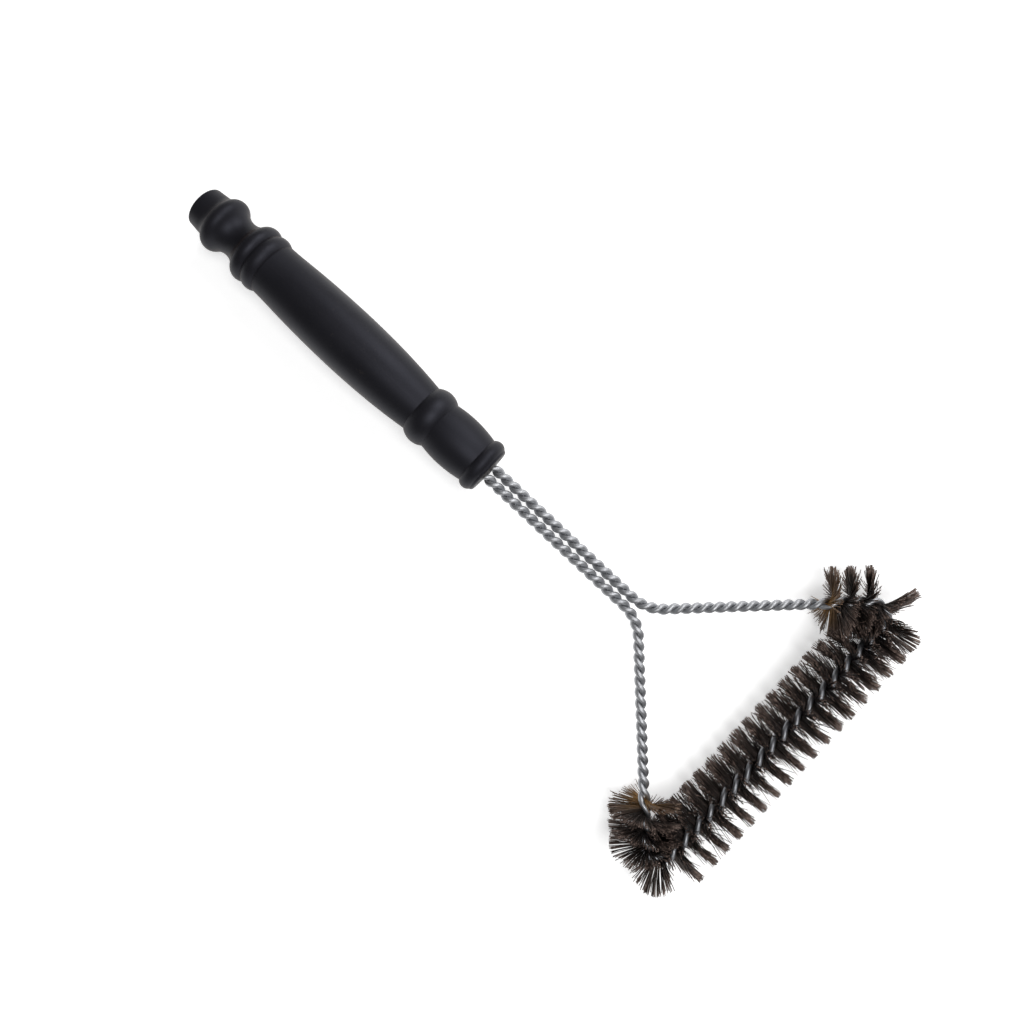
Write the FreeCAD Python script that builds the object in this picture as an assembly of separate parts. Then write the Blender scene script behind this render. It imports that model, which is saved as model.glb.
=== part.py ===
import FreeCAD, Part
import math
import os

from FreeCAD import Vector

# Grill cleaning brush: a turned handle, two twisted wire stems that fork into a
# triangular head, and helical tufts of steel bristles held between the wires.
# Millimetres. +X runs from the butt of the handle to the head, +Z is up, and the
# brush lies flat. The origin is below the middle of the overall box, on the
# plane that the bristle tips rest on.

# ---- driving dimensions ----
OVERALL_LENGTH = 306.0          # butt of the handle to the front bristle tips
HANDLE_LENGTH = 145.0
EXPOSED_STEM = 75.8             # front face of the handle to where the arms' lines meet
ARM_ANGLE = 45.0                # each arm to the handle's axis, in degrees
FORK_BEND = 17.0                # centreline bend where a stem becomes an arm
CORNER_BEND = 5.8               # centreline bend where an arm becomes the base

WIRE_DIAMETER = 2.1
BARE_WIRE_GAP = 0.06            # between the two wires where there is no bristle
FILLED_WIRE_GAP = 0.36          # between the two wires where bristles part them
BARE_TWIST_PITCH = 8.5          # one full turn of the bare twist
TWIST_BLEND = 6.0               # length over which the twist and the gap change
STEM_CLEARANCE = 0.15           # between the two stems

TIP_RADIUS = 14.0               # bristle tip to the middle of the core
BASE_TUFTS = 16                 # one tuft for each half turn of the core
CORNER_TUFTS = 2
ARM_TUFTS = 3
ARM_BRISTLE_LENGTH = 16.6       # bristled length at the corner end of each arm
TUFT_CLEARANCE = 0.30           # free length of core between two tufts
TUFT_WAIST = 0.20               # thickness of a tuft between the wires
TUFT_SHOULDER = 0.60            # thickness where a tuft leaves the core
TUFT_TIP = 1.90                 # thickness at the bristle tips
CORNER_CLEARANCE = 0.70         # from tuft ends to the middle plane of a corner

BORE_DIAMETER = 11.4            # blind bore in the front of the handle
BORE_DEPTH = 44.0
BORE_MOUTH_CHAMFER = 0.8
STEM_EMBED = 40.0               # length of stem inside the handle
POTTING_CLEARANCE = 0.05        # bore wall to the potting
POTTING_DOME = 0.7              # height of the potting proud of the front face
STEM_SLOT_CLEARANCE = 0.06      # around the stems inside the potting

BUTT_FACE_RADIUS = 7.4          # flat end of the handle
GRIP_PROFILE = [                # share of the grip's length from its butt end, radius
    (0.0, 10.75),
    (0.05, 10.9),
    (0.14, 11.35),
    (0.28, 11.9),
    (0.47, 12.23),
    (0.67, 12.0),
    (0.85, 11.17),
    (1.0, 9.95),
]
TUBE_STEP = 1.2                 # spacing of the sections of a twisted wire
TUBE_PANEL = 14                 # sections in each face of a twisted wire
TUFT_STEPS = 16                 # flat-sided steps in one helical tuft

# ---- derived places ----
AXIS_HEIGHT = TIP_RADIUS
BUTT_X = -OVERALL_LENGTH / 2
FRONT_FACE_X = BUTT_X + HANDLE_LENGTH
FORK_X = FRONT_FACE_X + EXPOSED_STEM
BASE_X = OVERALL_LENGTH / 2 - TIP_RADIUS

WIRE_RADIUS = WIRE_DIAMETER / 2
BARE_OFFSET = (WIRE_DIAMETER + BARE_WIRE_GAP) / 2
FILLED_OFFSET = (WIRE_DIAMETER + FILLED_WIRE_GAP) / 2
BARE_CORE_RADIUS = BARE_OFFSET + WIRE_RADIUS
FILLED_CORE_RADIUS = FILLED_OFFSET + WIRE_RADIUS
STEM_Y = BARE_CORE_RADIUS + STEM_CLEARANCE / 2
STEM_START_X = FRONT_FACE_X - STEM_EMBED
LAY_ANGLE = math.atan(2 * math.pi * BARE_OFFSET / BARE_TWIST_PITCH)
WIRE_END_REACH = WIRE_RADIUS * math.sin(LAY_ANGLE)      # a sloping wire's end past its middle

CORNER_TURN = 180.0 - ARM_ANGLE
HALF_WIDTH = (BASE_X - FORK_X) * math.tan(math.radians(ARM_ANGLE))
FORK_TANGENT = FORK_BEND * math.tan(math.radians(ARM_ANGLE / 2))
CORNER_TANGENT = CORNER_BEND * math.tan(math.radians(CORNER_TURN / 2))
ARM_START_X = FORK_X + STEM_Y / math.tan(math.radians(ARM_ANGLE))
ARM_LINE = (HALF_WIDTH - STEM_Y) / math.sin(math.radians(ARM_ANGLE))

HALF_BASE = HALF_WIDTH - CORNER_TANGENT
CORNER_ARC = CORNER_BEND * math.radians(CORNER_TURN)
ARM_STRAIGHT = ARM_LINE - CORNER_TANGENT - FORK_TANGENT
FORK_ARC = FORK_BEND * math.radians(ARM_ANGLE)
STEM_STRAIGHT = ARM_START_X - FORK_TANGENT - STEM_START_X

CORNER_START = HALF_BASE
CORNER_END = CORNER_START + CORNER_ARC
BRISTLE_END = CORNER_END + ARM_BRISTLE_LENGTH
FORK_START = CORNER_END + ARM_STRAIGHT
FORK_END = FORK_START + FORK_ARC
CORE_END = FORK_END + STEM_STRAIGHT

# Half turns of the twist from the middle of the base. Two tufts meet there, and
# the middle of a tuft falls on each end of a corner's bend.
BASE_HALF_TURNS = (BASE_TUFTS + 1) / 2
CORNER_HALF_TURNS = BASE_HALF_TURNS + CORNER_TUFTS
BRISTLE_HALF_TURNS = CORNER_HALF_TURNS + ARM_TUFTS - 0.5
BARE_RATE = 2 / BARE_TWIST_PITCH
ARM_RATE = (BRISTLE_HALF_TURNS - CORNER_HALF_TURNS) / ARM_BRISTLE_LENGTH


# ---- centreline of the core, measured from the middle of the base ----
def heading_vector(degrees):
    angle = math.radians(degrees)
    return Vector(math.cos(angle), math.sin(angle), 0)


def arc_place(start, heading, radius, length):
    """Place and heading on an arc that turns left from a start and a heading."""
    turned = heading + math.degrees(length / radius)
    centre = start + heading_vector(heading + 90) * radius
    return centre + heading_vector(turned - 90) * radius, turned


def right_place(distance):
    """Place and heading on the +Y half of the core, from the base to the stem."""
    place = Vector(BASE_X, 0, AXIS_HEIGHT)
    heading = 90.0
    place = place + heading_vector(heading) * min(distance, CORNER_START)
    if distance <= CORNER_START:
        return place, heading
    place, heading = arc_place(place, heading, CORNER_BEND, min(distance, CORNER_END) - CORNER_START)
    if distance <= CORNER_END:
        return place, heading
    place = place + heading_vector(heading) * (min(distance, FORK_START) - CORNER_END)
    if distance <= FORK_START:
        return place, heading
    bent = min(distance, FORK_END) - FORK_START
    place, mirrored = arc_place(Vector(place.x, -place.y, place.z), -heading, FORK_BEND, bent)
    place = Vector(place.x, -place.y, place.z)
    heading = -mirrored
    return place + heading_vector(heading) * max(0.0, distance - FORK_END), heading


def core_frame(distance):
    """Place, forward direction and inward direction of the core at a signed distance."""
    place, heading = right_place(abs(distance))
    forward = heading_vector(heading)
    if distance < 0:
        place = Vector(place.x, -place.y, place.z)
        forward = Vector(-forward.x, forward.y, 0)
    inward = Vector(-forward.y, forward.x, 0)
    return place, forward, inward


def blend(distance):
    """0 on the bristled length of the core and 1 on the bare twist, with a ramp between."""
    return min(1.0, max(0.0, (distance - BRISTLE_END) / TWIST_BLEND))


def half_turns(distance):
    """Half turns of the twist from the middle of the base, negative on the -Y side."""
    away = abs(distance)
    if away <= CORNER_START:
        turns = BASE_HALF_TURNS * away / CORNER_START
    elif away <= CORNER_END:
        turns = BASE_HALF_TURNS + CORNER_TUFTS * (away - CORNER_START) / CORNER_ARC
    else:
        beyond = max(0.0, away - BRISTLE_END)
        ramp = min(beyond, TWIST_BLEND)
        turns = CORNER_HALF_TURNS + ARM_RATE * (away - CORNER_END)
        turns += (BARE_RATE - ARM_RATE) * (ramp * ramp / (2 * TWIST_BLEND) + beyond - ramp)
    return math.copysign(turns, distance)


def sheet_directions(distance):
    """Directions along and across the bristle sheet, square to the core (left-hand twist)."""
    _, _, inward = core_frame(distance)
    angle = -math.pi * (half_turns(distance) + 0.5)
    up = Vector(0, 0, 1)
    along = inward * math.cos(angle) + up * math.sin(angle)
    across = up * math.cos(angle) - inward * math.sin(angle)
    return along, across


# ---- twisted wires ----
def wire_place(distance, side):
    """Middle of one wire: side is +1 or -1 across the bristle sheet."""
    place, _, _ = core_frame(distance)
    _, across = sheet_directions(distance)
    offset = FILLED_OFFSET + (BARE_OFFSET - FILLED_OFFSET) * blend(abs(distance))
    return place + across * (side * offset)


def wire_section(distance, side):
    """Control points of the wire's circular section, square to the wire."""
    step = 0.01
    middle = wire_place(distance, side)
    ahead = wire_place(distance + step, side)
    behind = wire_place(distance - step, side)
    tangent = (ahead - behind).normalize()
    _, across = sheet_directions(distance)
    across = (across - tangent * across.dot(tangent)).normalize()
    third = tangent.cross(across)
    corners = [(1, 0), (1, 1), (0, 1), (-1, 1), (-1, 0), (-1, -1), (0, -1), (1, -1), (1, 0)]
    return [middle + across * (a * WIRE_RADIUS) + third * (b * WIRE_RADIUS) for a, b in corners]


def closed_solid(faces):
    """Solid inside faces that meet edge to edge, turned to face outwards."""
    shell = Part.Shell(faces)
    shell.sewShape()
    solid = Part.Solid(shell)
    if solid.Volume < 0:
        solid.reverse()
    return solid


def wire_surface(distances, side):
    """Swept surface through the wire's sections."""
    sections = [wire_section(distance, side) for distance in distances]
    rows = []
    for i in range(9):
        row = Part.BSplineCurve()
        row.interpolate(Points=[section[i] for section in sections], Parameters=distances)
        rows.append(row)
    weights = [[1.0 if i % 2 == 0 else math.sqrt(0.5)] * rows[0].NbPoles for i in range(9)]
    surface = Part.BSplineSurface()
    surface.buildFromPolesMultsKnots(
        [row.getPoles() for row in rows],
        [3, 2, 2, 2, 3], rows[0].getMultiplicities(),
        [0.0, 1.0, 2.0, 3.0, 4.0], rows[0].getKnots(),
        False, False, 2, 3, weights)
    return surface


def wire(side):
    """One whole wire: up one stem and arm, round the base and back down the other."""
    panels = math.ceil(2 * CORE_END / (TUBE_STEP * TUBE_PANEL))
    count = panels * TUBE_PANEL
    distances = [CORE_END * (2 * i / count - 1) for i in range(count + 1)]
    surface = wire_surface(distances, side)
    faces = []
    for i in range(panels):
        panel = surface.copy()
        panel.segment(0.0, 4.0, distances[i * TUBE_PANEL], distances[(i + 1) * TUBE_PANEL])
        faces.append(panel.toShape())
    for end in (distances[0], distances[-1]):
        rim = surface.vIso(end).toShape()
        faces.append(Part.Face(Part.Wire([rim])))
    return closed_solid(faces)


# ---- bristle tufts ----
def corner_bisector(side):
    """Virtual corner on one side, and the direction that halves its inside angle."""
    corner = Vector(BASE_X, HALF_WIDTH * side, AXIS_HEIGHT)
    to_middle = Vector(0, -side, 0)
    to_fork = Vector(FORK_X - BASE_X, -HALF_WIDTH * side, 0).normalize()
    return corner, (to_middle + to_fork).normalize()


def reach_limit(distance, reach):
    """Longest bristle in one direction that stays on its own side of the corner."""
    place, _, inward = core_frame(distance)
    towards = reach.dot(inward)
    if towards <= 0.01:
        return TIP_RADIUS
    if CORNER_START < abs(distance) < CORNER_END:
        return min(TIP_RADIUS, (CORNER_BEND - CORNER_CLEARANCE) / towards)
    corner, bisector = corner_bisector(1 if distance >= 0 else -1)
    normal = Vector(-bisector.y, bisector.x, 0)
    room = (place - corner).dot(normal)
    closing = -reach.dot(normal) * math.copysign(1, room)
    if closing <= 0.01:
        return TIP_RADIUS
    return min(TIP_RADIUS, (abs(room) - CORNER_CLEARANCE) / closing)


def tuft_outline(distance):
    """Corners of a tuft's outline on the plane square to the core."""
    place, _, _ = core_frame(distance)
    along, across = sheet_directions(distance)
    upper = [(0, TUFT_WAIST / 2)]
    for sign in (1, -1):
        tip = reach_limit(distance, along * sign)
        share = (tip - FILLED_CORE_RADIUS) / (TIP_RADIUS - FILLED_CORE_RADIUS)
        half_tip = (TUFT_SHOULDER + (TUFT_TIP - TUFT_SHOULDER) * share) / 2
        shoulder_corner = (sign * FILLED_CORE_RADIUS, TUFT_SHOULDER / 2)
        tip_corner = (sign * math.sqrt(tip * tip - half_tip * half_tip), half_tip)
        upper = [tip_corner, shoulder_corner] + upper
        upper.reverse()
    lower = [(run, -half) for run, half in reversed(upper)]
    return [place + along * run + across * half for run, half in upper + lower]


def half_turn_distance(turns):
    """Distance along the bristled core at which a number of half turns is reached."""
    away = abs(turns)
    if away <= BASE_HALF_TURNS:
        distance = CORNER_START * away / BASE_HALF_TURNS
    elif away <= CORNER_HALF_TURNS:
        distance = CORNER_START + CORNER_ARC * (away - BASE_HALF_TURNS) / CORNER_TUFTS
    else:
        distance = CORNER_END + (away - CORNER_HALF_TURNS) / ARM_RATE
    return math.copysign(distance, turns)


def tuft(turns):
    """One helical tuft, centred where the core has made a number of half turns."""
    start = half_turn_distance(turns - 0.5) + TUFT_CLEARANCE / 2
    end = half_turn_distance(turns + 0.5) - TUFT_CLEARANCE / 2
    outlines = [tuft_outline(start + (end - start) * i / TUFT_STEPS) for i in range(TUFT_STEPS + 1)]
    faces = [Part.Face(Part.makePolygon(outline + outline[:1])) for outline in (outlines[0], outlines[-1])]
    corners = len(outlines[0])
    for near, far in zip(outlines, outlines[1:]):
        for i in range(corners):
            j = (i + 1) % corners
            faces.append(Part.Face(Part.makePolygon([near[i], near[j], far[j], near[i]])))
            faces.append(Part.Face(Part.makePolygon([near[i], far[j], far[i], near[i]])))
    return closed_solid(faces)


def tuft_nodes():
    """Every tuft by name: the base from -Y to +Y, then each corner and arm from the base to the fork."""
    nodes = {}
    for i in range(BASE_TUFTS):
        nodes["base_tuft_%02d" % (i + 1)] = tuft(i - (BASE_TUFTS - 1) / 2)
    for side, sign in (("right", 1), ("left", -1)):
        for i in range(CORNER_TUFTS):
            turns = BASE_HALF_TURNS + i
            nodes["%s_corner_tuft_%d" % (side, i + 1)] = tuft(sign * turns)
        for i in range(ARM_TUFTS):
            turns = CORNER_HALF_TURNS + i
            nodes["%s_arm_tuft_%d" % (side, i + 1)] = tuft(sign * turns)
    return nodes


# ---- handle ----
def handle_point(along, radius):
    return Vector(BUTT_X + along, 0, AXIS_HEIGHT + radius)


def profile_line(first, second):
    return Part.LineSegment(handle_point(*first), handle_point(*second)).toShape()


def profile_arc(first, middle, last):
    return Part.Arc(handle_point(*first), handle_point(*middle), handle_point(*last)).toShape()


def profile_curve(points):
    curve = Part.BSplineCurve()
    curve.interpolate([handle_point(*point) for point in points])
    return curve.toShape()


def handle():
    """Turned handle: butt with three rings, a long swelling grip, a ring and a front collar."""
    front = HANDLE_LENGTH
    bore = BORE_DIAMETER / 2
    grip_start = 35.3
    grip_length = front - 34.4 - grip_start
    edges = [
        profile_line((0, 0), (0, BUTT_FACE_RADIUS)),
        profile_arc((0, BUTT_FACE_RADIUS), (0.25, 7.85), (0.8, 8.1)),
        profile_line((0.8, 8.1), (5.4, 8.6)),
        profile_arc((5.4, 8.6), (7.0, 9.15), (8.2, 10.2)),
        profile_arc((8.2, 10.2), (10.8, 11.15), (13.2, 10.05)),
        profile_arc((13.2, 10.05), (18.0, 7.8), (23.4, 10.2)),
        profile_arc((23.4, 10.2), (26.0, 11.9), (29.0, 10.85)),
        profile_arc((29.0, 10.85), (31.9, 11.7), (34.6, 10.45)),
        profile_arc((34.6, 10.45), (34.85, 10.65), (grip_start, GRIP_PROFILE[0][1])),
        profile_curve([(grip_start + share * grip_length, radius) for share, radius in GRIP_PROFILE]),
        profile_arc((front - 34.4, 9.95), (front - 29.6, 11.7), (front - 25.0, 10.1)),
        profile_arc((front - 25.0, 10.1), (front - 16.5, 10.85), (front - 6.2, 9.75)),
        profile_arc((front - 6.2, 9.75), (front - 3.4, 11.0), (front - 1.0, 9.7)),
        profile_arc((front - 1.0, 9.7), (front - 0.3, 9.3), (front, 8.6)),
        profile_line((front, 8.6), (front, bore + BORE_MOUTH_CHAMFER)),
        profile_line((front, bore + BORE_MOUTH_CHAMFER), (front - BORE_MOUTH_CHAMFER, bore)),
        profile_line((front - BORE_MOUTH_CHAMFER, bore), (front - BORE_DEPTH, bore)),
        profile_line((front - BORE_DEPTH, bore), (front - BORE_DEPTH, 0)),
        profile_line((front - BORE_DEPTH, 0), (0, 0)),
    ]
    face = Part.Face(Part.Wire(edges))
    return face.revolve(Vector(BUTT_X, 0, AXIS_HEIGHT), Vector(1, 0, 0), 360)


def potting():
    """Set resin that fills the bore around both stems and stands a little proud as a lip."""
    radius = BORE_DIAMETER / 2 - POTTING_CLEARANCE
    floor_x = FRONT_FACE_X - BORE_DEPTH + POTTING_CLEARANCE
    plug = Part.makeCylinder(radius, FRONT_FACE_X - floor_x, Vector(floor_x, 0, AXIS_HEIGHT), Vector(1, 0, 0))
    sphere_radius = (radius * radius + POTTING_DOME * POTTING_DOME) / (2 * POTTING_DOME)
    dome_middle = Vector(FRONT_FACE_X + POTTING_DOME - sphere_radius, 0, AXIS_HEIGHT)
    rod = Part.makeCylinder(radius, POTTING_DOME, Vector(FRONT_FACE_X, 0, AXIS_HEIGHT), Vector(1, 0, 0))
    dome = Part.makeSphere(sphere_radius, dome_middle).common(rod)
    slot_radius = BARE_CORE_RADIUS + STEM_SLOT_CLEARANCE
    slot_start = STEM_START_X - WIRE_END_REACH - STEM_SLOT_CLEARANCE
    slot_length = FRONT_FACE_X + POTTING_DOME + 1 - slot_start
    slot = Part.makeBox(slot_length, 2 * STEM_Y, 2 * slot_radius,
                        Vector(slot_start, -STEM_Y, AXIS_HEIGHT - slot_radius))
    for side in (1, -1):
        start = Vector(slot_start, side * STEM_Y, AXIS_HEIGHT)
        slot = slot.fuse(Part.makeCylinder(slot_radius, slot_length, start, Vector(1, 0, 0)))
    return plug.fuse(dome).removeSplitter().cut(slot.removeSplitter())


def main():
    os.makedirs("parts", exist_ok=True)
    nodes = {
        "handle": handle(),
        "stem_potting": potting(),
        "core_wire_a": wire(1),
        "core_wire_b": wire(-1),
    }
    nodes.update(tuft_nodes())
    for name, shape in nodes.items():
        shape.exportStep("parts/%s.step" % name)


main()
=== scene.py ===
import math
import random

import bmesh
import bpy
from mathutils import Matrix, Vector


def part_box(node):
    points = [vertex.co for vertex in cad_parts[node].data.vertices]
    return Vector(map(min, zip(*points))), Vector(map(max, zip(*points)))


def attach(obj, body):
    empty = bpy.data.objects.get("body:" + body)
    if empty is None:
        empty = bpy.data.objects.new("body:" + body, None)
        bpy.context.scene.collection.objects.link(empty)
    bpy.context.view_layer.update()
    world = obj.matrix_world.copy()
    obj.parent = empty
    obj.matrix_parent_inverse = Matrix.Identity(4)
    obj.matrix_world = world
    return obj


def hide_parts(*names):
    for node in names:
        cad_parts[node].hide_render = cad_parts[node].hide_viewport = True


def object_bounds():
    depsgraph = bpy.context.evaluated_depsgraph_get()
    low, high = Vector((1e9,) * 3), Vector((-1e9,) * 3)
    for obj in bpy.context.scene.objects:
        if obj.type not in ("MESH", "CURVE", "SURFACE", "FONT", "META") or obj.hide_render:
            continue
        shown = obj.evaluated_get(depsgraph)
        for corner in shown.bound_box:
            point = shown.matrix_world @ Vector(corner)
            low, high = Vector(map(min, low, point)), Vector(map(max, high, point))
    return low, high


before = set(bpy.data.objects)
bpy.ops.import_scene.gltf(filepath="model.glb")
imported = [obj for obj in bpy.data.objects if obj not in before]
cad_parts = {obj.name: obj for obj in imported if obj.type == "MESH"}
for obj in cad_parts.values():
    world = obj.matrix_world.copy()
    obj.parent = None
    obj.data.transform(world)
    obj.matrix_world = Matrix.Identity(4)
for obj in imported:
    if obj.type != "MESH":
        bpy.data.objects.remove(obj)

cad_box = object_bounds()
MM = 0.001

# ---- the core that carries the bristles, worked out from the frame ----
BASE_TUFTS = 16
CORNER_TUFTS = 2
ARM_TUFTS = 3
BASE_TURNS = (BASE_TUFTS + 1) / 2       # half turns of the core, from the middle of the base
CORNER_TURNS = BASE_TURNS + CORNER_TUFTS
BRISTLE_TURNS = CORNER_TURNS + ARM_TUFTS - 0.5
CORNER_BEND = 5.8 * MM
ARM_ANGLE = math.radians(45)
ARM_BRISTLE_LENGTH = 16.6 * MM
TUFT_CLEARANCE = 0.30 * MM

middle_low, middle_high = (Vector(corner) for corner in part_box("base_tuft_08"))
AXIS_HEIGHT = (middle_low.z + middle_high.z) / 2
TIP_RADIUS = (middle_high.z - middle_low.z) / 2
BASE_X = (middle_low.x + middle_high.x) / 2
HALF_BASE = (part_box("base_tuft_16")[1][1] + TUFT_CLEARANCE / 2) * BASE_TURNS / (BASE_TUFTS / 2)
CORNER_ARC = CORNER_BEND * (math.pi - ARM_ANGLE)
CORNER_END = HALF_BASE + CORNER_ARC

# ---- bristles ----
FILAMENT_RADIUS = 0.14 * MM
FILAMENT_SIDES = 5
FILAMENTS_PER_TUFT = 170
HALF_FILAMENT_RINGS = 5         # rings from the core to each tip
BASE_GATHER = 0.40              # how far the upper and outer filaments bend to the middle
ARM_GATHER = 0.50               # of their tuft, as a share of the way, on base and arms
LOWER_GATHER = 0.05             # the same for lower and inner filaments
GATHERED_BY = 0.8               # share of the reach at which that bend is complete
BASE_FAN = 0.05                 # share of the bend given back at the tips
ARM_FAN = 0.9
BASE_LEAN = math.radians(7)     # lean of the base's outer filaments along it
ROOT_SPREAD = 0.35 * MM         # how far along the core from its place a filament may cross
TURN_JITTER = math.radians(4)   # wander round the core
LEAN_JITTER = math.radians(2.6)  # wander along the core
BASE_SPLAY = 3.6                # extra wander, in times, of filaments that point down
ARM_SPLAY = 0.8
LENGTH_JITTER = 0.6 * MM
BOW = 0.35 * MM                 # sideways bow of a filament
STRAY_SHARE = 0.06              # share of filaments that wander more
STRAY_FACTOR = 3.0

# ---- floor, light and camera ----
FLOOR_SIZE = 6.0
FLOOR_GLOW = 0.54               # light given off by the floor, which keeps shadows soft
ROOM_GLOW = 0.15
OVERHEAD_PLACE = (0.35, 0.02, 1.3)
OVERHEAD_SIZE = 0.7
OVERHEAD_POWER = 9.2
OVERHEAD_TARGET = (0.05, 0, 0)
SIDE_PLACE = (0, 1.0, 0.75)
SIDE_SIZE = 0.9
SIDE_POWER = 9
SIDE_TARGET = (0, 0, 0)
CAMERA_HEIGHT = 0.313           # above the plane of the wires
CAMERA_X_SHARE = 0.0562         # of half the length, from the middle
CAMERA_Y_SHARE = -0.068         # of half the width
CAMERA_ROLL = math.radians(43)
LENS = 29.5
SENSOR = 36.0

# ---- sockets of a colour Mix node ----
MIX_SHARE = 0
MIX_FIRST = 6
MIX_SECOND = 7
MIX_RESULT = 2


# ---- shader writing ----
class Reading:
    """A value that changes over a surface; arithmetic on a number adds Math nodes."""

    def __init__(self, finish, socket):
        self.finish = finish
        self.socket = socket

    def __add__(self, other):
        return self.finish.maths("ADD", self, other)

    def __radd__(self, other):
        return self.finish.maths("ADD", other, self)

    def __sub__(self, other):
        return self.finish.maths("SUBTRACT", self, other)

    def __rsub__(self, other):
        return self.finish.maths("SUBTRACT", other, self)

    def __mul__(self, other):
        return self.finish.maths("MULTIPLY", self, other)

    def __rmul__(self, other):
        return self.finish.maths("MULTIPLY", other, self)


class Finish:
    """One material: a Principled shader and the nodes that drive it."""

    def __init__(self, name, **uniform):
        self.material = bpy.data.materials.new(name)
        self.material.use_nodes = True
        self.tree = self.material.node_tree
        self.shader = self.tree.nodes["Principled BSDF"]
        for socket, value in uniform.items():
            self.shader.inputs[socket.replace("_", " ")].default_value = value

    def node(self, kind, settings=None, sockets=None, output=0):
        """Add a node: its settings first, then values or links for its sockets."""
        node = self.tree.nodes.new(kind)
        for name, value in (settings or {}).items():
            setattr(node, name, value)
        for name, value in (sockets or {}).items():
            self.feed(node.inputs[name], value)
        return Reading(self, node.outputs[output])

    def feed(self, target, value):
        if isinstance(value, Reading):
            self.tree.links.new(value.socket, target)
        else:
            target.default_value = value

    def drive(self, **sockets):
        """Feed the shader's own sockets."""
        for name, value in sockets.items():
            self.feed(self.shader.inputs[name.replace("_", " ")], value)

    def maths(self, operation, first, second):
        return self.node("ShaderNodeMath", {"operation": operation}, {0: first, 1: second})

    def place(self):
        """Position on the object, in metres."""
        return self.node("ShaderNodeTexCoord", output="Object")

    def noise(self, place, size, detail=3.0, roughness=0.5):
        """Cloudy variation whose blotches are about one size across, in metres."""
        sockets = {"Vector": place, "Scale": 1 / size, "Detail": detail, "Roughness": roughness}
        return self.node("ShaderNodeTexNoise", None, sockets, "Fac")

    def attribute(self, name):
        """A value stored on the mesh's own points."""
        return self.node("ShaderNodeAttribute", {"attribute_name": name}, None, "Fac")

    def facing_away(self):
        """0 where the surface faces the eye, rising to 1 at its outline."""
        return self.node("ShaderNodeLayerWeight", None, {"Blend": 0.5}, "Facing")

    def ramp(self, value, low, high):
        """0 below low, 1 above high and an even change between."""
        sockets = {"Value": value, "From Min": low, "From Max": high}
        return self.node("ShaderNodeMapRange", {"clamp": True}, sockets)

    def blend(self, share, first, second):
        """Colour between two colours."""
        sockets = {MIX_SHARE: share, MIX_FIRST: first, MIX_SECOND: second}
        return self.node("ShaderNodeMix", {"data_type": "RGBA"}, sockets, MIX_RESULT)

    def relief(self, height, depth, strength):
        """Surface relief of a depth in metres."""
        sockets = {"Height": height, "Distance": depth, "Strength": strength}
        self.drive(Normal=self.node("ShaderNodeBump", None, sockets))


def colour(red, green, blue):
    return (red, green, blue, 1)


def grey(value):
    return colour(value, value, value)


def moulded_handle():
    """Satin black plastic: fine moulded grain, faint smudges and scuffs on the high rings, and a
    painted brown rim sheen towards the outline.
    """
    deep_black = colour(0.0045, 0.0043, 0.0055)
    soft_black = colour(0.0085, 0.0080, 0.0098)
    painted_brown_rim_sheen = colour(0.030, 0.018, 0.012)
    rubbed = colour(0.035, 0.028, 0.024)
    finish = Finish("moulded_black_plastic", IOR=1.38, Specular_IOR_Level=0.5,
                    Specular_Tint=colour(0.80, 0.82, 1.0))
    low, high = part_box("handle")
    widest = (high[2] - low[2]) / 2
    place = finish.place()
    from_axis = finish.node("ShaderNodeVectorMath", {"operation": "SUBTRACT"},
                            {0: place, 1: (0, 0, AXIS_HEIGHT)})
    across = finish.node("ShaderNodeVectorMath", {"operation": "MULTIPLY"},
                         {0: from_axis, 1: (0, 1, 1)})
    radius = finish.node("ShaderNodeVectorMath", {"operation": "LENGTH"}, {0: across}, "Value")
    grain = finish.noise(place, 0.35 * MM, 2.0)
    smudge = finish.noise(place, 14 * MM, 4.0, 0.6)
    scuffs = finish.ramp(finish.noise(place, 1.6 * MM, 5.0, 0.7), 0.60, 0.74)
    ridge = finish.ramp(radius, widest - 1.3 * MM, widest - 0.3 * MM)
    # painted brown rim sheen: the black turns a lighter brown towards the outline, where the
    # surface turns away from the eye
    outline = finish.ramp(finish.facing_away(), 0.55, 1.0)
    black = finish.blend(outline, finish.blend(smudge, deep_black, soft_black), painted_brown_rim_sheen)
    finish.drive(Base_Color=finish.blend(0.5 * ridge * scuffs, black, rubbed))
    finish.drive(Roughness=0.46 + 0.12 * smudge - 0.06 * ridge + 0.08 * (grain - 0.5))
    finish.relief(grain + 0.6 * scuffs, 0.035 * MM, 0.35)
    return finish.material


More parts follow.
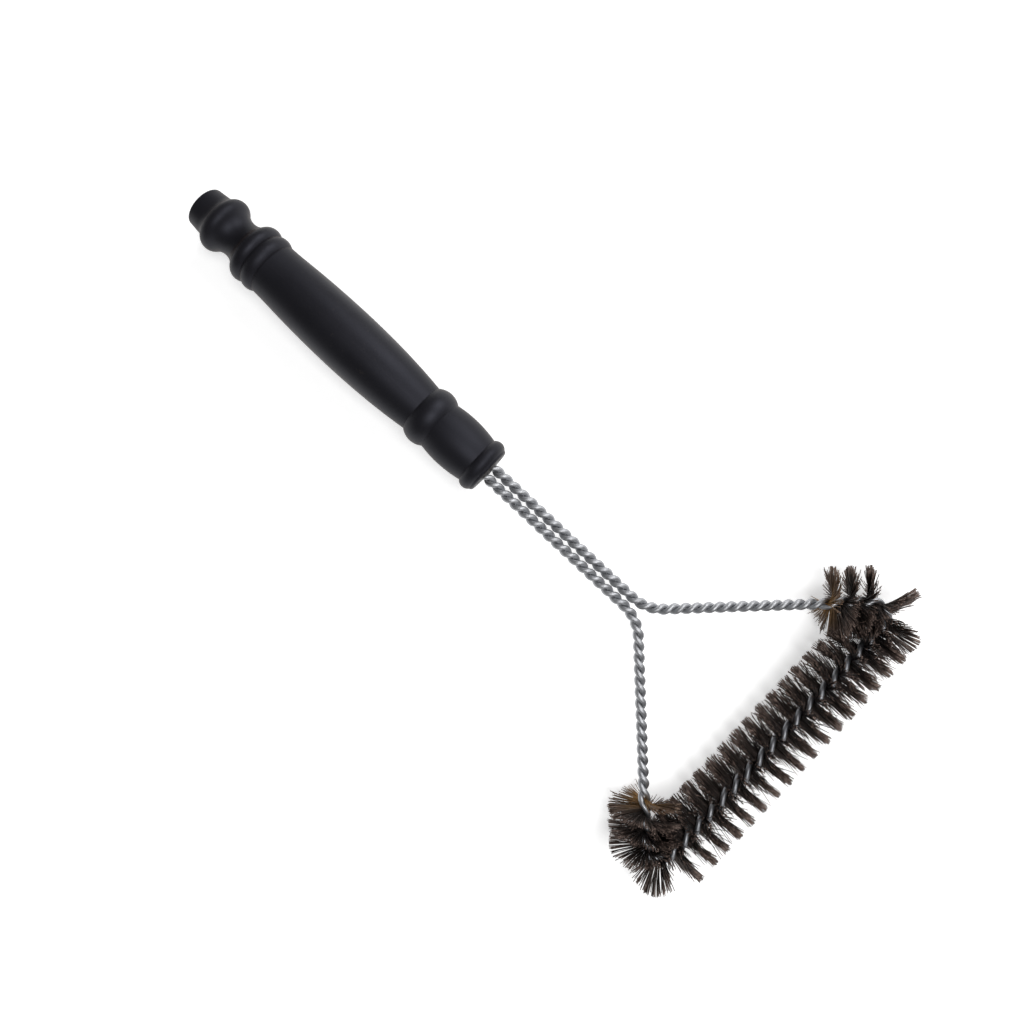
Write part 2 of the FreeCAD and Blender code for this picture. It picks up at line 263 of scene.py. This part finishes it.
def drawn_wire():
    """Zinc-coated wire: mottled coat, dull patches, dark specks, a painted blue grey shade among
    the bristles and a painted dark outline.
    """
    # dark blue grey of the painted shade among the bristles
    soot_and_painted_shade = colour(0.10, 0.12, 0.17)
    # grey of the painted shade at the wire's outline
    painted_outline_shade_grey = colour(0.10, 0.105, 0.115)
    speck_grey = colour(0.16, 0.155, 0.15)
    finish = Finish("drawn_zinc_coated_wire", Metallic=1.0)
    place = finish.place()
    mottle = finish.noise(place, 1.1 * MM, 4.0, 0.6)
    patch = finish.noise(place, 9 * MM)
    specks = finish.ramp(finish.noise(place, 0.45 * MM, 3.0, 0.7), 0.56, 0.70)
    bright = finish.blend(mottle, colour(0.40, 0.41, 0.43), colour(0.64, 0.65, 0.68))
    dull = finish.blend(patch, colour(0.30, 0.31, 0.32), colour(0.50, 0.50, 0.51))
    clean = finish.blend(0.35 + 0.3 * (patch - 0.5), bright, dull)
    along = finish.node("ShaderNodeSeparateXYZ", None, {"Vector": place}, "X")
    # painted shade: the colour is blended a little towards dark blue grey where the wire runs
    # among the bristles
    painted_shade_among_bristles = finish.ramp(along, BASE_X - 12 * MM, BASE_X - 2 * MM)
    with_painted_shade = finish.blend(0.2 * painted_shade_among_bristles, clean, soot_and_painted_shade)
    # painted outline shade: the colour darkens to grey towards the outline, where the wire turns
    # away from the eye
    outline = finish.ramp(finish.facing_away(), 0.45, 0.95)
    coat = finish.blend(0.75 * outline, with_painted_shade, painted_outline_shade_grey)
    finish.drive(Base_Color=finish.blend(0.45 * specks, coat, speck_grey))
    finish.drive(Roughness=0.42 + 0.16 * mottle + 0.12 * specks)
    finish.relief(mottle - 0.7 * specks, 0.03 * MM, 0.5)
    return finish.material


def set_resin():
    """Dark set resin with small pits."""
    finish = Finish("dark_set_resin", IOR=1.5)
    place = finish.place()
    cloud = finish.noise(place, 2.5 * MM)
    pits = finish.ramp(finish.noise(place, 0.5 * MM, 2.0), 0.62, 0.70)
    resin = finish.blend(cloud, colour(0.012, 0.010, 0.009), colour(0.030, 0.024, 0.018))
    finish.drive(Base_Color=resin)
    finish.drive(Roughness=0.30 + 0.25 * cloud)
    finish.relief(cloud - pits, 0.1 * MM, 0.6)
    return finish.material


def spring_filaments():
    """Dark spring steel: each filament its own shade, paler at the tips, golden by the fork."""
    black_soot = colour(0.018, 0.015, 0.013)
    gold = colour(0.34, 0.17, 0.03)
    finish = Finish("dark_spring_steel_filaments", Metallic=0.75)
    place = finish.place()
    shade = finish.attribute("shade")
    reach = finish.attribute("reach")
    by_fork = finish.ramp(finish.attribute("warmth"), 0.72, 1.0)
    golden = by_fork * (1 - 0.75 * finish.ramp(reach, 0.35, 0.85))
    # random soot blotches on the filaments
    soot_and_painted_shade = finish.noise(place, 1.5 * MM, 3.0, 0.6)
    root = finish.blend(shade, colour(0.024, 0.019, 0.018), colour(0.130, 0.100, 0.088))
    tip = finish.blend(shade, colour(0.060, 0.040, 0.032), colour(0.320, 0.235, 0.200))
    steel = finish.blend(finish.ramp(reach, 0.55, 1.0), root, tip)
    sooty = finish.blend(0.6 * soot_and_painted_shade, steel, black_soot)
    finish.drive(Base_Color=finish.blend(golden * (0.55 + 0.45 * shade), sooty, gold))
    finish.drive(Roughness=0.34 + 0.22 * soot_and_painted_shade)
    finish.relief(soot_and_painted_shade, 0.02 * MM, 0.3)
    return finish.material


def studio_floor():
    """Matt pale board that gives off a little light."""
    finish = Finish("pale_board", Roughness=0.9, Emission_Strength=FLOOR_GLOW)
    place = finish.place()
    fibre = finish.noise(place, 3 * MM, 4.0)
    pale = finish.blend(fibre, grey(0.90), grey(0.93))
    finish.drive(Base_Color=pale, Emission_Color=pale)
    return finish.material


# ---- the path of the core ----
def core_frame(distance):
    """Place, forward and inward directions of the core, from the middle of the base."""
    away = abs(distance)
    side = math.copysign(1, distance)
    if away <= HALF_BASE:
        place = Vector((BASE_X, away, AXIS_HEIGHT))
        turned = 0.0
    else:
        turned = min(away - HALF_BASE, CORNER_ARC) / CORNER_BEND
        centre = Vector((BASE_X - CORNER_BEND, HALF_BASE, AXIS_HEIGHT))
        place = centre + CORNER_BEND * Vector((math.cos(turned), math.sin(turned), 0))
    forward = Vector((-math.sin(turned), math.cos(turned), 0))
    place = place + forward * max(0.0, away - CORNER_END)
    if side < 0:
        place.y = -place.y
        forward.x = -forward.x
    inward = Vector((-forward.y, forward.x, 0))
    return place, forward, inward


def half_turn_distance(turns):
    """Distance along the core at which the twist has made a number of half turns."""
    away = abs(turns)
    if away <= BASE_TURNS:
        distance = HALF_BASE * away / BASE_TURNS
    elif away <= CORNER_TURNS:
        distance = HALF_BASE + CORNER_ARC * (away - BASE_TURNS) / CORNER_TUFTS
    else:
        share = (away - CORNER_TURNS) / (BRISTLE_TURNS - CORNER_TURNS)
        distance = CORNER_END + ARM_BRISTLE_LENGTH * share
    return math.copysign(distance, turns)


# ---- one tuft of filaments ----
def filament_points(middle, offset, chance):
    """Points along one filament, each with its share of the reach, and its warmth.

    The filament crosses the core between the wires, middle + offset half turns from the
    middle of the base. Each half bends towards the middle of the tuft, and on the
    corners and arms it fans out again towards its tip. Warmth is 0 on the base and
    corners and grows to 1 at the bristles' end by the fork.
    """
    turns = middle + offset
    distance = half_turn_distance(turns)
    place, forward, inward = core_frame(distance)
    up = Vector((0, 0, 1))
    stray = STRAY_FACTOR if chance.random() < STRAY_SHARE else 1.0
    root = place + forward * chance.uniform(-ROOT_SPREAD, ROOT_SPREAD)
    to_middle = half_turn_distance(middle) - distance
    on_base = abs(middle) < BASE_TURNS
    fan = BASE_FAN if on_base else ARM_FAN
    upper_gather = BASE_GATHER if on_base else ARM_GATHER
    down_splay = BASE_SPLAY if on_base else ARM_SPLAY
    halves = []
    for sign in (1, -1):
        angle = -math.pi * (turns + 0.5) + chance.gauss(0, TURN_JITTER) * stray
        along = (inward * math.cos(angle) + up * math.sin(angle)) * sign
        upper_outer = (1 + (along.z - along.dot(inward)) / math.sqrt(2)) / 2
        splay = 1 + down_splay * max(0.0, -along.z)
        lean = chance.gauss(0, LEAN_JITTER) * splay * stray
        gather = LOWER_GATHER + (upper_gather - LOWER_GATHER) * upper_outer
        if on_base:
            lean += BASE_LEAN * max(0.0, -along.dot(inward))
        reach = along * math.cos(lean) + forward * math.sin(lean)
        length = TIP_RADIUS - abs(chance.gauss(0, LENGTH_JITTER))
        if reach.z < 0:
            length = min(length, (AXIS_HEIGHT - FILAMENT_RADIUS) / -reach.z)
        bow = forward.cross(reach) * chance.gauss(0, BOW) + forward * chance.gauss(0, BOW)
        half = []
        for i in range(1, HALF_FILAMENT_RINGS + 1):
            share = i / HALF_FILAMENT_RINGS
            gathered = to_middle * gather * min(1.0, share / GATHERED_BY) * (1 - fan * share)
            point = root + reach * (length * share) + bow * (share * share) + forward * gathered
            half.append((point, share))
        halves.append(half)
    points = list(reversed(halves[1])) + [(root, 0.0)] + halves[0]
    warmth = max(0.0, (abs(distance) - CORNER_END) / ARM_BRISTLE_LENGTH)
    return points, warmth


def add_filament(mesh, layers, points, shade, warmth):
    """Thin round bar through the points, closed at both ends."""
    rings = []
    for i, (point, reach) in enumerate(points):
        ahead = points[min(i + 1, len(points) - 1)][0]
        behind = points[max(i - 1, 0)][0]
        turn = (ahead - behind).to_track_quat("Z", "Y").to_matrix()
        ring = []
        for k in range(FILAMENT_SIDES):
            angle = 2 * math.pi * k / FILAMENT_SIDES
            offset = Vector((math.cos(angle), math.sin(angle), 0)) * FILAMENT_RADIUS
            vertex = mesh.verts.new(point + turn @ offset)
            vertex[layers["reach"]] = reach
            vertex[layers["shade"]] = shade
            vertex[layers["warmth"]] = warmth
            ring.append(vertex)
        rings.append(ring)
    for near, far in zip(rings, rings[1:]):
        for k in range(FILAMENT_SIDES):
            j = (k + 1) % FILAMENT_SIDES
            mesh.faces.new((near[k], near[j], far[j], far[k])).smooth = True
    mesh.faces.new(list(reversed(rings[0])))
    mesh.faces.new(rings[-1])


def make_tuft(node, turns, finish, seed):
    """All filaments of one half turn of the core, standing for one CAD tuft."""
    chance = random.Random(seed)
    mesh = bmesh.new()
    layers = {name: mesh.verts.layers.float.new(name) for name in ("reach", "shade", "warmth")}
    for _ in range(FILAMENTS_PER_TUFT):
        points, warmth = filament_points(turns, chance.uniform(-0.5, 0.5), chance)
        add_filament(mesh, layers, points, chance.random(), warmth)
    data = bpy.data.meshes.new(node + "_filaments")
    mesh.to_mesh(data)
    mesh.free()
    data.materials.append(finish)
    piece = bpy.data.objects.new(node + "_filaments", data)
    bpy.context.scene.collection.objects.link(piece)
    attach(piece, "root")
    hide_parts(node)


def make_bristles():
    finish = spring_filaments()
    places = {}
    for i in range(BASE_TUFTS):
        places["base_tuft_%02d" % (i + 1)] = i - (BASE_TUFTS - 1) / 2
    for side, sign in (("right", 1), ("left", -1)):
        for i in range(CORNER_TUFTS):
            places["%s_corner_tuft_%d" % (side, i + 1)] = sign * (BASE_TURNS + i)
        for i in range(ARM_TUFTS):
            places["%s_arm_tuft_%d" % (side, i + 1)] = sign * (CORNER_TURNS + i)
    for seed, (node, turns) in enumerate(places.items()):
        make_tuft(node, turns, finish, seed)


# ---- hard parts keep their CAD shape and get a finish ----
def finish_node(node, material):
    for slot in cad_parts[node].material_slots:
        slot.material = material


# ---- the studio ----
def make_floor():
    mesh = bmesh.new()
    bmesh.ops.create_grid(mesh, x_segments=4, y_segments=4, size=FLOOR_SIZE / 2)
    data = bpy.data.meshes.new("floor")
    mesh.to_mesh(data)
    mesh.free()
    data.materials.append(studio_floor())
    floor = bpy.data.objects.new("floor", data)
    floor.location.z = cad_box[0][2]
    bpy.context.scene.collection.objects.link(floor)


def softbox(name, place, size, power, target):
    """Large square lamp that looks at a point."""
    lamp = bpy.data.lights.new(name, "AREA")
    lamp.shape = "SQUARE"
    lamp.size = size
    lamp.energy = power
    holder = bpy.data.objects.new(name, lamp)
    holder.location = place
    towards = Vector(target) - Vector(place)
    holder.rotation_euler = towards.to_track_quat("-Z", "Y").to_euler()
    bpy.context.scene.collection.objects.link(holder)


def make_light():
    scene = bpy.context.scene
    scene.view_settings.view_transform = "Standard"
    world = bpy.data.worlds.new("studio")
    world.use_nodes = True
    background = world.node_tree.nodes["Background"]
    background.inputs["Color"].default_value = grey(1.0)
    background.inputs["Strength"].default_value = ROOM_GLOW
    scene.world = world
    softbox("overhead", OVERHEAD_PLACE, OVERHEAD_SIZE, OVERHEAD_POWER, OVERHEAD_TARGET)
    softbox("side", SIDE_PLACE, SIDE_SIZE, SIDE_POWER, SIDE_TARGET)


def make_camera():
    camera = bpy.data.cameras.new("camera")
    camera.lens = LENS
    camera.sensor_width = SENSOR
    camera.clip_start = 0.01
    holder = bpy.data.objects.new("camera", camera)
    half_length, half_width, _ = cad_box[1]
    place = Vector((CAMERA_X_SHARE * half_length, CAMERA_Y_SHARE * half_width,
                    AXIS_HEIGHT + CAMERA_HEIGHT))
    holder.matrix_world = Matrix.Translation(place) @ Matrix.Rotation(CAMERA_ROLL, 4, "Z")
    bpy.context.scene.collection.objects.link(holder)
    bpy.context.scene.camera = holder


make_camera()
make_light()
make_floor()
finish_node("handle", moulded_handle())
finish_node("stem_potting", set_resin())
wire_finish = drawn_wire()
finish_node("core_wire_a", wire_finish)
finish_node("core_wire_b", wire_finish)
make_bristles()
